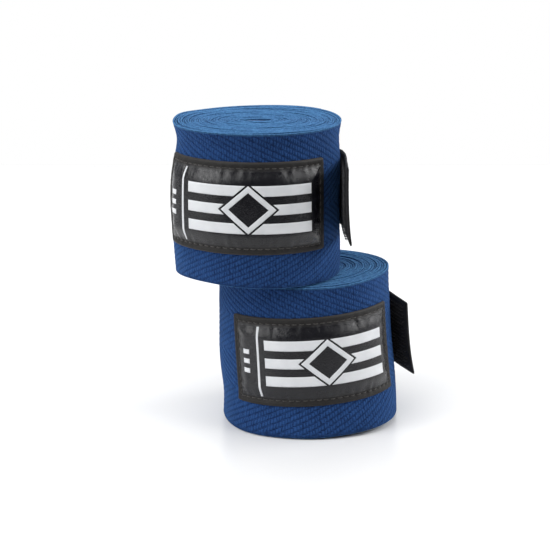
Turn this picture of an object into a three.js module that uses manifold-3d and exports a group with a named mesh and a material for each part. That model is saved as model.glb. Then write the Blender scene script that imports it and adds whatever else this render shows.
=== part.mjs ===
// A pair of rolled boxing hand wraps. Each wrap is one cotton strip wound up around its folded
// thumb loop, with a sewn label, a hook tab at the strip's outer end and a pile patch beside it.
// The upper roll stands on the lower one, which leans a little.
// Units are millimetres. +Z is up, the labels face -Y, and the origin is on the surface that the
// pair stands on, below the middle of the pair's bounding box.

import * as THREE from 'three';
import { mergeVertices } from 'three/addons/utils/BufferGeometryUtils.js';
import Module from 'manifold-3d';

// ---- Driving dimensions -------------------------------------------------------------------

const GAP = 0.25; // clearance between pieces that touch

const STRIP_WIDTH = 50.8; // 2 in
const STRIP_LENGTH = 3048; // 120 in
const STRIP_THICKNESS = 0.65;
const CORE_RADIUS = 3.6; // mean radius of the hollow that the winding starts around
const CORE_FLATTENING = 1.8; // how far the hollow is squeezed from round to eye-shaped
const SEGMENTS_PER_TURN = 20;

const LABEL_LENGTH = 61;
const LABEL_HEIGHT = 30;
const LABEL_THICKNESS = 1.0; // of the puffed middle
const BORDER_THICKNESS = 0.6; // of the sewn-down border
const BORDER_WIDTH = 3.2;
const SEAM_INSET = 2; // from a patch's edge to its row of stitches
const THREAD_WIDTH = 0.6;
const THREAD_DEPTH = 0.35;

const PRINT_DEPTH = 0.25;
const EMBLEM_START = 13.6; // from the label's left edge
const EMBLEM_WIDTH = 40.4;
const EMBLEM_HEIGHT = 15.6;
const EMBLEM_STRIPE = 3.4;
const DIAMOND_WIDTH = 17;
const DIAMOND_RIM = 2.2;
const RULE_POSITION = 11.2; // from the label's left edge to the thin upright line
const RULE_WIDTH = 0.8;
const RULE_HEIGHT = 24;
const SIZE_BAR_POSITION = 6.6;
const SIZE_BAR_LENGTH = 2.6;
const SIZE_BAR_HEIGHT = 1.6;
const SIZE_BAR_SPACING = 3.2;

const TAPE_WIDTH = 25.4; // 1 in hook and pile tape
const TAPE_THICKNESS = 0.8;
const TAB_LENGTH = 48;
const HOOK_DEPTH = 0.7;
const HOOK_MARGIN = 1.4;
const ANCHOR_LENGTH = 7; // the end of the hook tape that is sewn onto the strip
const TAB_STEPS = 20;
const PILE_DEPTH = 1.3;
const PILE_LENGTH = 30;
const PILE_SETBACK = 10; // from the strip's end to the pile patch

const LOOP_TAPE_WIDTH = 7.5;
const LOOP_TAPE_THICKNESS = 0.7;
const LOOP_DEPTH = 2;
const LOOP_BOTTOM = 6;
const LOOP_TOP = 49;
const TACK_WIDTH = 5;
const TACK_HEIGHT = 1.6;
const TACK_DEPTH = 0.3;
const TACK_RISE = 3; // from the loop's lowest point to the tack

const LOWER_LEAN = THREE.MathUtils.degToRad(3.3);
const UPPER_BASE = 51.6;
const UPPER_OFFSET = new THREE.Vector2(-18, -6.5);

// Angles go anticlockwise seen from above, from the front, so 90 is the right side. A strip's
// outer end is at endAngle, and the strip runs inwards from there with its angle growing.
const LOWER = {
  name: 'lower',
  radius: 29.3,
  endAngle: 167,
  labelStart: 305.9,
  labelBottom: 10.9,
  tabBottom: 14.6,
  peelAngle: 112, // the tab follows the roll as far as here
  tabPoints: [[31.3, 2.6], [34.8, -6]],
  // The left half is pressed flat on the ground, and the top is level below the upper roll.
  bottomEdge: (x) => Math.max(0, -x * Math.tan(LOWER_LEAN)),
  topEdge: (x) => {
    const level = (UPPER_BASE - GAP - x * Math.sin(LOWER_LEAN)) / Math.cos(LOWER_LEAN);
    return Math.max(STRIP_WIDTH, level);
  },
};

const UPPER = {
  name: 'upper',
  radius: 27.7,
  endAngle: 131,
  labelStart: 284.3,
  labelBottom: 11.4,
  tabBottom: 13.2,
  peelAngle: 131,
  tabPoints: [[25.2, 14.5], [27.4, 10.3], [28.5, 4], [28.9, -12], [28.9, -28]],
  bottomEdge: () => 0,
  topEdge: () => STRIP_WIDTH,
};

// ---- Materials ----------------------------------------------------------------------------

const MATERIALS = {
  cotton: new THREE.MeshStandardMaterial({ color: 0x24497f, roughness: 0.95, metalness: 0 }),
  loopTape: new THREE.MeshStandardMaterial({ color: 0x1d3f74, roughness: 0.95, metalness: 0 }),
  leatherette: new THREE.MeshStandardMaterial({ color: 0x17181b, roughness: 0.35, metalness: 0 }),
  thread: new THREE.MeshStandardMaterial({ color: 0x2a2523, roughness: 0.7, metalness: 0 }),
  print: new THREE.MeshStandardMaterial({ color: 0xe9ecef, roughness: 0.5, metalness: 0 }),
  tape: new THREE.MeshStandardMaterial({ color: 0x131316, roughness: 0.85, metalness: 0 }),
  hooks: new THREE.MeshStandardMaterial({ color: 0x1c1c20, roughness: 0.6, metalness: 0 }),
  pile: new THREE.MeshStandardMaterial({ color: 0x17171a, roughness: 1, metalness: 0 }),
};

// ---- Solids -------------------------------------------------------------------------------

const wasm = await Module();
wasm.setup();

function facingOut(geometry) {
  const position = geometry.attributes.position;
  const index = geometry.index.array;
  const corners = [new THREE.Vector3(), new THREE.Vector3(), new THREE.Vector3()];
  let volume = 0;
  for (let i = 0; i < index.length; i += 3) {
    corners.forEach((corner, j) => corner.fromBufferAttribute(position, index[i + j]));
    volume += corners[0].dot(corners[1].cross(corners[2]));
  }
  if (volume < 0) {
    for (let i = 0; i < index.length; i += 3) {
      [index[i + 1], index[i + 2]] = [index[i + 2], index[i + 1]];
    }
  }
  return geometry;
}

// A closed solid with one section carried along the stations: place(station, u, v) gives the
// point for the section's corner (u, v).
function loft(section, stations, place) {
  const positions = [];
  for (const station of stations) {
    for (const { x, y } of section) {
      positions.push(...place(station, x, y).toArray());
    }
  }
  const count = section.length;
  const lastRing = (stations.length - 1) * count;
  const index = [];
  for (let ring = 0; ring < lastRing; ring += count) {
    for (let i = 0; i < count; i += 1) {
      const next = (i + 1) % count;
      index.push(ring + i, ring + next, ring + count + next);
      index.push(ring + i, ring + count + next, ring + count + i);
    }
  }
  const winding = THREE.ShapeUtils.isClockWise(section) ? -1 : 1;
  for (const face of THREE.ShapeUtils.triangulateShape(section, [])) {
    const [a, b, c] = winding > 0 ? face : [face[0], face[2], face[1]];
    index.push(a, c, b);
    index.push(lastRing + a, lastRing + b, lastRing + c);
  }
  const geometry = new THREE.BufferGeometry();
  geometry.setAttribute('position', new THREE.Float32BufferAttribute(positions, 3));
  geometry.setIndex(index);
  return facingOut(geometry);
}

function rectangle(uLow, uHigh, vLow, vHigh) {
  return [
    new THREE.Vector2(uLow, vLow),
    new THREE.Vector2(uHigh, vLow),
    new THREE.Vector2(uHigh, vHigh),
    new THREE.Vector2(uLow, vHigh),
  ];
}

function toManifold(geometry) {
  return new wasm.Manifold(new wasm.Mesh({
    numProp: 3,
    vertProperties: new Float32Array(geometry.attributes.position.array),
    triVerts: new Uint32Array(geometry.index.array),
  }));
}

function fromManifold(solid) {
  const { vertProperties, triVerts } = solid.getMesh();
  const geometry = new THREE.BufferGeometry();
  geometry.setAttribute('position', new THREE.BufferAttribute(vertProperties, 3));
  geometry.setIndex(new THREE.BufferAttribute(triVerts, 1));
  return geometry;
}

function join(geometries) {
  return fromManifold(geometries.map(toManifold).reduce((sum, solid) => sum.add(solid)));
}

function cut(geometry, hole) {
  return fromManifold(toManifold(geometry).subtract(toManifold(hole)));
}

// ---- The wound strip ----------------------------------------------------------------------

const STEP = 360 / SEGMENTS_PER_TURN;
const FINE_STEP = STEP / 3; // for pieces that follow the strip's facets

// How far one turn lies inside the next: the area that the strip's middle line winds over is
// the strip's length times this.
function turnPitch(roll) {
  const outermost = roll.radius - STRIP_THICKNESS / 2;
  const innermost = CORE_RADIUS + STRIP_THICKNESS / 2;
  return (Math.PI * (outermost ** 2 - innermost ** 2)) / STRIP_LENGTH;
}

// The squeeze of the hollow fades out towards the round outside of the roll.
function coilPoint(roll, angle, radius) {
  const squeeze = CORE_FLATTENING * (1 - radius / roll.radius);
  const turn = THREE.MathUtils.degToRad(angle);
  return new THREE.Vector2(
    (radius + squeeze) * Math.sin(turn),
    -(radius - squeeze) * Math.cos(turn),
  );
}

function outerRadius(roll, angle) {
  return roll.radius - (turnPitch(roll) * (angle - roll.endAngle)) / 360;
}

function makeStrip(roll) {
  const turns = (roll.radius - CORE_RADIUS - STRIP_THICKNESS) / turnPitch(roll);
  const stations = [];
  for (let i = 0; i <= Math.round(turns * SEGMENTS_PER_TURN); i += 1) {
    stations.push(roll.endAngle + i * STEP);
  }
  return loft(rectangle(-STRIP_THICKNESS, 0, 0, 1), stations, (angle, depth, side) => {
    const { x, y } = coilPoint(roll, angle, outerRadius(roll, angle) + depth);
    return new THREE.Vector3(x, y, side === 0 ? roll.bottomEdge(x) : roll.topEdge(x));
  });
}

// A point on the strip's outer facets, lifted off them by a height.
function onStrip(roll, angle, lift, z) {
  const steps = (angle - roll.endAngle) / STEP;
  const before = roll.endAngle + Math.floor(steps) * STEP;
  const start = coilPoint(roll, before, outerRadius(roll, before));
  const end = coilPoint(roll, before + STEP, outerRadius(roll, before + STEP));
  const point = start.lerp(end, steps - Math.floor(steps));
  point.setLength(point.length() + lift);
  return new THREE.Vector3(point.x, point.y, z);
}

function stationsBetween(roll, from, to) {
  const stations = [from];
  for (let angle = roll.endAngle; angle < to; angle += FINE_STEP) {
    if (angle > from) stations.push(angle);
  }
  stations.push(to);
  return stations;
}

// A patch that follows the strip. The section is (lift, z), and from and to are angles.
function wrapPatch(roll, section, from, to) {
  const place = (angle, lift, z) => onStrip(roll, angle, lift, z);
  return loft(section, stationsBetween(roll, from, to), place);
}

function arcAngle(roll, length) {
  return THREE.MathUtils.radToDeg(length / roll.radius);
}

// A row of stitches around a patch, as one closed frame of thread.
function wrapSeam(roll, lift, from, to, bottom, top) {
  const inset = arcAngle(roll, SEAM_INSET);
  const width = arcAngle(roll, THREAD_WIDTH);
  const low = bottom + SEAM_INSET;
  const high = top - SEAM_INSET;
  const outside = rectangle(lift, lift + THREAD_DEPTH, low, high);
  const inside = rectangle(lift - 1, lift + 1, low + THREAD_WIDTH, high - THREAD_WIDTH);
  return cut(
    wrapPatch(roll, outside, from + inset, to - inset),
    wrapPatch(roll, inside, from + inset + width, to - inset - width),
  );
}

// ---- The label and its print --------------------------------------------------------------

const PRINT_LIFT = GAP + LABEL_THICKNESS + GAP;

// The angle at a distance along the label from its left edge.
function onLabel(roll, distance) {
  return roll.labelStart + arcAngle(roll, distance);
}

// A thin sheet sewn down at its border, with a thicker puffed middle.
function makeLabel(roll) {
  const bottom = roll.labelBottom;
  const top = bottom + LABEL_HEIGHT;
  const sheet = rectangle(GAP, GAP + BORDER_THICKNESS, bottom, top);
  const low = bottom + BORDER_WIDTH;
  const high = top - BORDER_WIDTH;
  const chamfer = LABEL_THICKNESS - BORDER_THICKNESS;
  const puff = [
    new THREE.Vector2(GAP + BORDER_THICKNESS / 2, low),
    new THREE.Vector2(GAP + BORDER_THICKNESS, low),
    new THREE.Vector2(GAP + LABEL_THICKNESS, low + chamfer),
    new THREE.Vector2(GAP + LABEL_THICKNESS, high - chamfer),
    new THREE.Vector2(GAP + BORDER_THICKNESS, high),
    new THREE.Vector2(GAP + BORDER_THICKNESS / 2, high),
  ];
  return join([
    wrapPatch(roll, sheet, onLabel(roll, 0), onLabel(roll, LABEL_LENGTH)),
    wrapPatch(roll, puff, onLabel(roll, BORDER_WIDTH), onLabel(roll, LABEL_LENGTH - BORDER_WIDTH)),
  ]);
}

function makeLabelSeam(roll) {
  const lift = GAP + BORDER_THICKNESS + GAP;
  return wrapSeam(
    roll,
    lift,
    roll.labelStart,
    onLabel(roll, LABEL_LENGTH),
    roll.labelBottom,
    roll.labelBottom + LABEL_HEIGHT,
  );
}

// A printed bar between two distances along the label. The heights are given at each end and
// are measured from the label's middle.
function printedBar(roll, from, to, startHeights, endHeights) {
  const middle = roll.labelBottom + LABEL_HEIGHT / 2;
  const start = onLabel(roll, from);
  const end = onLabel(roll, to);
  const section = rectangle(PRINT_LIFT, PRINT_LIFT + PRINT_DEPTH, 0, 1);
  return loft(section, stationsBetween(roll, start, end), (angle, lift, side) => {
    const share = (angle - start) / (end - start);
    const height = THREE.MathUtils.lerp(startHeights[side], endHeights[side], share);
    return onStrip(roll, angle, lift, middle + height);
  });
}

// A diamond outline with three stripes running out of each side, printed in one piece.
function makeEmblem(roll) {
  const middle = EMBLEM_START + EMBLEM_WIDTH / 2;
  const left = middle - DIAMOND_WIDTH / 2;
  const right = middle + DIAMOND_WIDTH / 2;
  const tip = EMBLEM_HEIGHT / 2;
  const bars = [
    printedBar(roll, left, middle, [-DIAMOND_RIM / 2, DIAMOND_RIM / 2], [tip - DIAMOND_RIM, tip]),
    printedBar(roll, left, middle, [-DIAMOND_RIM / 2, DIAMOND_RIM / 2], [-tip, DIAMOND_RIM - tip]),
    printedBar(roll, middle, right, [tip - DIAMOND_RIM, tip], [-DIAMOND_RIM / 2, DIAMOND_RIM / 2]),
    printedBar(roll, middle, right, [-tip, DIAMOND_RIM - tip], [-DIAMOND_RIM / 2, DIAMOND_RIM / 2]),
  ];
  const spacing = (EMBLEM_HEIGHT - EMBLEM_STRIPE) / 2;
  for (const row of [-1, 0, 1]) {
    const heights = [row * spacing - EMBLEM_STRIPE / 2, row * spacing + EMBLEM_STRIPE / 2];
    const reach = row === 0 ? 1 : DIAMOND_WIDTH / 2 - 1;
    bars.push(printedBar(roll, EMBLEM_START, left + reach, heights, heights));
    bars.push(printedBar(roll, right - reach, EMBLEM_START + EMBLEM_WIDTH, heights, heights));
  }
  return join(bars);
}

function makeSizeRule(roll) {
  const half = [-RULE_HEIGHT / 2, RULE_HEIGHT / 2];
  return printedBar(roll, RULE_POSITION - RULE_WIDTH / 2, RULE_POSITION + RULE_WIDTH / 2, half, half);
}

// One of three short bars above each other, numbered upwards from 1.
function makeSizeBar(roll, number) {
  const left = SIZE_BAR_POSITION - SIZE_BAR_LENGTH / 2;
  const right = SIZE_BAR_POSITION + SIZE_BAR_LENGTH / 2;
  const centre = (number - 2) * SIZE_BAR_SPACING;
  const heights = [centre - SIZE_BAR_HEIGHT / 2, centre + SIZE_BAR_HEIGHT / 2];
  return printedBar(roll, left, right, heights, heights);
}

// ---- Pile patch and hook tab --------------------------------------------------------------

function pileSpan(roll) {
  const start = roll.endAngle + arcAngle(roll, PILE_SETBACK);
  return [start, start + arcAngle(roll, PILE_LENGTH)];
}

function makePilePatch(roll) {
  const section = rectangle(GAP, GAP + PILE_DEPTH, roll.tabBottom, roll.tabBottom + TAPE_WIDTH);
  return wrapPatch(roll, section, ...pileSpan(roll));
}

function makePileSeam(roll) {
  const top = roll.tabBottom + TAPE_WIDTH;
  return wrapSeam(roll, GAP + PILE_DEPTH + GAP, ...pileSpan(roll), roll.tabBottom, top);
}

function anchorSpan(roll) {
  const clearance = arcAngle(roll, GAP);
  return [roll.endAngle + clearance, roll.endAngle + clearance + arcAngle(roll, ANCHOR_LENGTH)];
}

function makeTabAnchor(roll) {
  const top = roll.tabBottom + TAPE_WIDTH;
  const section = rectangle(GAP, GAP + TAPE_THICKNESS, roll.tabBottom, top);
  return wrapPatch(roll, section, ...anchorSpan(roll));
}

function makeTabSeam(roll) {
  const top = roll.tabBottom + TAPE_WIDTH;
  return wrapSeam(roll, GAP + TAPE_THICKNESS + GAP, ...anchorSpan(roll), roll.tabBottom, top);
}

// The middle of the hook tape, seen from above: along the turn below it as far as the peel
// angle, and then off the roll.
function tabRoute(roll) {
  const lift = GAP + HOOK_DEPTH + GAP + TAPE_THICKNESS / 2;
  const onTurnBelow = (angle) => coilPoint(roll, angle, outerRadius(roll, angle + 360) + lift);
  const points = [];
  for (let angle = roll.endAngle; angle > roll.peelAngle; angle -= FINE_STEP) {
    points.push(onTurnBelow(angle));
  }
  points.push(onTurnBelow(roll.peelAngle));
  points.push(...roll.tabPoints.map(([x, y]) => new THREE.Vector2(x, y)));
  return new THREE.CatmullRomCurve3(points.map(({ x, y }) => new THREE.Vector3(x, y, 0)));
}

// A layer of the tab between two offsets from the tape's middle, positive away from the roll.
function tabLayer(roll, offsets, margin) {
  const route = tabRoute(roll);
  const length = Math.min(TAB_LENGTH, route.getLength()) - margin;
  const start = Math.max(margin, GAP);
  const stations = [];
  for (let i = 0; i <= TAB_STEPS; i += 1) {
    stations.push(THREE.MathUtils.lerp(start, length, i / TAB_STEPS) / route.getLength());
  }
  const bottom = roll.tabBottom + margin;
  const top = roll.tabBottom + TAPE_WIDTH - margin;
  return loft(rectangle(...offsets, bottom, top), stations, (share, offset, z) => {
    const point = route.getPointAt(share);
    const along = route.getTangentAt(share);
    return new THREE.Vector3(point.x - along.y * offset, point.y + along.x * offset, z);
  });
}

function makeHookTab(roll) {
  return tabLayer(roll, [-TAPE_THICKNESS / 2, TAPE_THICKNESS / 2], 0);
}

function makeHookField(roll) {
  const outside = -TAPE_THICKNESS / 2 - GAP;
  return tabLayer(roll, [outside - HOOK_DEPTH, outside], HOOK_MARGIN);
}

// ---- Thumb loop ---------------------------------------------------------------------------

// A tall rounded outline in the YZ plane, drawn as (height, depth).
function loopOutline(Outline, inset) {
  const radius = LOOP_DEPTH / 2 - inset;
  const outline = new Outline();
  outline.absarc(LOOP_BOTTOM + LOOP_DEPTH / 2, 0, radius, Math.PI / 2, (Math.PI * 3) / 2);
  outline.absarc(LOOP_TOP - LOOP_DEPTH / 2, 0, radius, -Math.PI / 2, Math.PI / 2);
  outline.closePath();
  return outline;
}

function makeThumbLoop() {
  const shape = loopOutline(THREE.Shape, 0);
  shape.holes.push(loopOutline(THREE.Path, LOOP_TAPE_THICKNESS));
  const geometry = new THREE.ExtrudeGeometry(shape, {
    depth: LOOP_TAPE_WIDTH,
    bevelEnabled: false,
    curveSegments: 6,
  });
  geometry.translate(0, 0, -LOOP_TAPE_WIDTH / 2);
  geometry.rotateY(-Math.PI / 2);
  geometry.deleteAttribute('normal');
  geometry.deleteAttribute('uv');
  return mergeVertices(geometry);
}

function makeLoopTack() {
  const geometry = new THREE.BoxGeometry(TACK_WIDTH, TACK_DEPTH, TACK_HEIGHT);
  geometry.translate(0, LOOP_DEPTH / 2 + GAP / 2 + TACK_DEPTH / 2, LOOP_BOTTOM + TACK_RISE);
  return geometry;
}

// ---- Assembly -----------------------------------------------------------------------------

function makeRoll(roll) {
  const group = new THREE.Group();
  const add = (name, geometry, material) => {
    const mesh = new THREE.Mesh(geometry, material);
    mesh.name = `${roll.name}_${name}`;
    group.add(mesh);
  };
  add('strip', makeStrip(roll), MATERIALS.cotton);
  add('thumb_loop', makeThumbLoop(), MATERIALS.loopTape);
  add('thumb_loop_tack', makeLoopTack(), MATERIALS.thread);
  add('label', makeLabel(roll), MATERIALS.leatherette);
  add('label_seam', makeLabelSeam(roll), MATERIALS.thread);
  add('emblem', makeEmblem(roll), MATERIALS.print);
  add('size_rule', makeSizeRule(roll), MATERIALS.print);
  for (const number of [1, 2, 3]) {
    add(`size_bar_${number}`, makeSizeBar(roll, number), MATERIALS.print);
  }
  add('pile_patch', makePilePatch(roll), MATERIALS.pile);
  add('pile_seam', makePileSeam(roll), MATERIALS.thread);
  add('tab_anchor', makeTabAnchor(roll), MATERIALS.tape);
  add('tab_seam', makeTabSeam(roll), MATERIALS.thread);
  add('hook_tab', makeHookTab(roll), MATERIALS.tape);
  add('hook_field', makeHookField(roll), MATERIALS.hooks);
  return group;
}

const lowerRoll = makeRoll(LOWER);
lowerRoll.rotation.y = -LOWER_LEAN;

const upperRoll = makeRoll(UPPER);
upperRoll.position.set(UPPER_OFFSET.x, UPPER_OFFSET.y, UPPER_BASE);

const handWraps = new THREE.Group();
handWraps.add(lowerRoll, upperRoll);

const footprint = new THREE.Box3().setFromObject(handWraps, true).getCenter(new THREE.Vector3());
handWraps.position.set(-footprint.x, -footprint.y, 0);

export default handWraps;
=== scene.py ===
"""The looks of a pair of rolled boxing hand wraps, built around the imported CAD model.

Each wrap is one herringbone cotton strip wound up around its folded thumb loop, with a puffed
leatherette label, a tab of hook tape and a pile patch. Everything is in metres in the CAD's
frame: +Z is up, and the labels face -Y. Angles are degrees anticlockwise seen from above, from
the front. Places on a wrap are given in its own frame, whose origin is under its middle.
"""

import math
from functools import partial

import bmesh
import bpy
import numpy as np
from mathutils import Matrix, Vector


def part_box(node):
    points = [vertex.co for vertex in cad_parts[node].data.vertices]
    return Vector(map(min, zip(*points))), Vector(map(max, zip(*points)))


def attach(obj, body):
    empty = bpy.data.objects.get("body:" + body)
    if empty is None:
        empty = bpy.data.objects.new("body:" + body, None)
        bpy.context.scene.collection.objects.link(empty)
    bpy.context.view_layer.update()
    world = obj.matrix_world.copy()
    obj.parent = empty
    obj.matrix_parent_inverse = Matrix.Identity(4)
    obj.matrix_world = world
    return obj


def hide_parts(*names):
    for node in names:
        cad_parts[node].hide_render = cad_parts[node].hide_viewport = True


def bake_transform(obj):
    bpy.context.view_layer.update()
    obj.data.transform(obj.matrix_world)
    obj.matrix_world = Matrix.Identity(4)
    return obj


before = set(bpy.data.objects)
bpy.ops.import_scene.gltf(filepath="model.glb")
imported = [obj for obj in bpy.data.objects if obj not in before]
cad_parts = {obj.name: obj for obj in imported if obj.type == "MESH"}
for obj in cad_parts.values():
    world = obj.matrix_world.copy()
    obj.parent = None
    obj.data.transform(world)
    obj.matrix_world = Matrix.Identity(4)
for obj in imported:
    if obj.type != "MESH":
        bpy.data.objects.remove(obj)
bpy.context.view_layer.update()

MM = 0.001
UV_NAME = "cloth"

# ---- Driving dimensions, as in the CAD ----

GAP = 0.25 * MM
STRIP_WIDTH = 50.8 * MM
STRIP_LENGTH = 3048 * MM
CAD_STRIP_THICKNESS = 0.65 * MM
CORE_RADIUS = 3.6 * MM
CORE_FLATTENING = 1.8 * MM

LABEL_LENGTH = 61 * MM
LABEL_HEIGHT = 30 * MM
SEAM_INSET = 2 * MM
EMBLEM_START = 13.6 * MM
EMBLEM_WIDTH = 40.4 * MM
EMBLEM_HEIGHT = 15.6 * MM
EMBLEM_STRIPE = 3.4 * MM
DIAMOND_WIDTH = 17 * MM
DIAMOND_RIM = 2.2 * MM
RULE_POSITION = 11.2 * MM
RULE_WIDTH = 0.8 * MM
RULE_HEIGHT = 24 * MM
SIZE_BAR_POSITION = 6.6 * MM
SIZE_BAR_LENGTH = 2.6 * MM
SIZE_BAR_HEIGHT = 1.6 * MM
SIZE_BAR_SPACING = 3.2 * MM

TAPE_WIDTH = 25.4 * MM
TAPE_THICKNESS = 0.8 * MM
TAB_LENGTH = 48 * MM
HOOK_SPACE = 0.7 * MM
HOOK_MARGIN = 1.4 * MM
ANCHOR_LENGTH = 7 * MM
PILE_LENGTH = 30 * MM
PILE_SETBACK = 10 * MM

LOOP_TAPE_WIDTH = 7.5 * MM
LOOP_TAPE_THICKNESS = 0.7 * MM
LOOP_DEPTH = 2 * MM
LOOP_BOTTOM = 6 * MM
LOOP_TOP = 49 * MM
TACK_WIDTH = 5 * MM
TACK_HEIGHT = 1.6 * MM
TACK_RISE = 3 * MM
TACK_STITCHES = 11

# ---- Sizes of the fine detail ----

BAND = STRIP_WIDTH / 4  # the herringbone turns back at each band's edge
UPRIGHT = 0.95 * MM  # from one upright yarn to the next, along the strip
LENGTHWISE = 0.48 * MM  # from one lengthwise yarn to the next, up the strip
RIB = 4 * UPRIGHT  # the twill repeats after four yarns, along the strip ...
RIB_RISE = 4 * LENGTHWISE  # ... and up it
RIB_DEPTH = 0.11 * MM
SELVEDGE = 1.4 * MM
EDGE_ROUND = 0.32 * MM
FLARE_HEIGHT = 5.5 * MM  # of the outermost turns' upper edge, which leans out
UNEVENNESS = 0.10 * MM
EDGE_SPAN = 12 * MM  # from a strip's edge to where a lift of that edge has died out
EDGE_WAVE = 0.16 * MM
TURN_CLEARANCE = 0.02 * MM

STITCH = 2.3 * MM  # from one stitch to the next
THREAD_RADIUS = 0.17 * MM


# ---- Small helpers ----


def smooth(share):
    """0 below 0, 1 above 1, and a smooth rise between them."""
    share = np.clip(share, 0, 1)
    return share * share * (3 - 2 * share)


def hump(distance, width):
    return np.exp(-((distance / width) ** 2))


def turn_between(angle, centre):
    """The smallest turn from one angle to the other."""
    return (angle - centre + 180) % 360 - 180


def unit(vectors):
    return vectors / np.linalg.norm(vectors, axis=-1, keepdims=True)


def to_edge(along, up, length, height):
    """How far a place on a patch is from the patch's nearest edge."""
    to_side = np.minimum(along, length - along)
    return np.minimum(to_side, np.minimum(up, height - up))


def grid_faces(rows, columns, wrap_rows=False, wrap_columns=False, first=0):
    """The quads of a grid of points numbered row by row."""
    index = first + np.arange(rows * columns).reshape(rows, columns)
    if wrap_rows:
        index = np.vstack([index, index[:1]])
    if wrap_columns:
        index = np.hstack([index, index[:, :1]])
    quads = np.stack([index[:-1, :-1], index[:-1, 1:], index[1:, 1:], index[1:, :-1]], -1)
    return quads.reshape(-1, 4).tolist()


def shell(front, back, wrap_rows=False):
    """A closed slab between two grids of points: its points and faces."""
    rows, columns = front.shape[:2]
    count = rows * columns
    index = np.arange(count).reshape(rows, columns)
    faces = grid_faces(rows, columns, wrap_rows)
    faces += [[corner + count for corner in reversed(face)] for face in faces]
    if wrap_rows:
        rims = [index[:, 0], index[::-1, -1]]
    else:
        rims = [np.concatenate([index[0], index[1:, -1], index[-1, -2::-1], index[-2:0:-1, 0]])]
    for rim in rims:
        after = np.roll(rim, -1)
        faces += np.stack([rim, rim + count, after + count, after], -1).tolist()
    return np.concatenate([front.reshape(-1, 3), back.reshape(-1, 3)]), faces


def threads(paths, across, radius, sides=4):
    """Closed round threads along many short paths. Each path lies in a plane with that normal."""
    tangent = unit(np.gradient(paths, axis=1))
    side = np.broadcast_to(across[:, None, :], tangent.shape)
    lift = np.cross(side, tangent)
    taper = np.ones(paths.shape[1])
    taper[[0, -1]] = 0.6
    points = []
    for turn in 2 * math.pi * np.arange(sides) / sides:
        spoke = math.cos(turn) * side + math.sin(turn) * lift
        points.append(paths + spoke * (radius * taper)[None, :, None])
    points = np.stack(points, 2)
    faces = []
    per_thread = paths.shape[1] * sides
    one = grid_faces(paths.shape[1], sides, wrap_columns=True)
    one += [list(range(sides))[::-1], [per_thread - sides + i for i in range(sides)]]
    for start in range(0, len(paths) * per_thread, per_thread):
        faces += [[start + corner for corner in face] for face in one]
    return points.reshape(-1, 3), faces


def across_threads(paths, out):
    """The normal of each thread's plane, which holds its two ends and the way out."""
    return unit(np.cross(paths[:, -1] - paths[:, 0], out))


def both_faces(along, up):
    """The cloth coordinates of a shell's front and back."""
    uv = np.stack(np.broadcast_arrays(along, up), -1).reshape(-1, 2)
    return np.concatenate([uv, uv])


def joined(parts):
    """Several (points, faces) as one."""
    points, faces, count = [], [], 0
    for part_points, part_faces in parts:
        faces += [[count + corner for corner in face] for face in part_faces]
        points.append(part_points)
        count += len(part_points)
    return np.concatenate(points), faces


def add_object(name, data):
    made = bpy.data.objects.new(name, data)
    bpy.context.scene.collection.objects.link(made)
    return made


def make_piece(name, shape, material, uv=None):
    """A smooth-shaded mesh object with its faces turned out. uv holds one (u, v) for each point."""
    points, faces = shape
    mesh = bpy.data.meshes.new(name)
    mesh.from_pydata(points.tolist(), [], faces)
    if uv is not None:
        corner_points = np.zeros(len(mesh.loops), np.int32)
        mesh.loops.foreach_get("vertex_index", corner_points)
        layer = mesh.uv_layers.new(name=UV_NAME)
        layer.data.foreach_set("uv", uv[corner_points].astype(np.float32).ravel())
    work = bmesh.new()
    work.from_mesh(mesh)
    bmesh.ops.recalc_face_normals(work, faces=work.faces)
    work.to_mesh(mesh)
    work.free()
    mesh.shade_smooth()
    mesh.materials.append(material)
    return add_object(name, mesh)


def roll_piece(roll, name, shape, material, node, uv=None):
    """A piece that rides on a roll, with the finish it is given, and stands for a CAD node."""
    piece = make_piece(roll.node(name), shape, material, uv)
    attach(piece, roll.body)
    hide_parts(roll.node(node))
    return piece


# ---- Materials ----


def add_node(tree, kind, inputs, output=0, **settings):
    """Makes a node, links or sets its inputs, and gives back one of its outputs."""
    made = tree.nodes.new("ShaderNode" + kind)
    for key, value in settings.items():
        setattr(made, key, value)
    for key, value in inputs.items():
        if isinstance(value, bpy.types.NodeSocket):
            tree.links.new(value, made.inputs[key])
        else:
            made.inputs[key].default_value = value
    return made.outputs[output]


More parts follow.
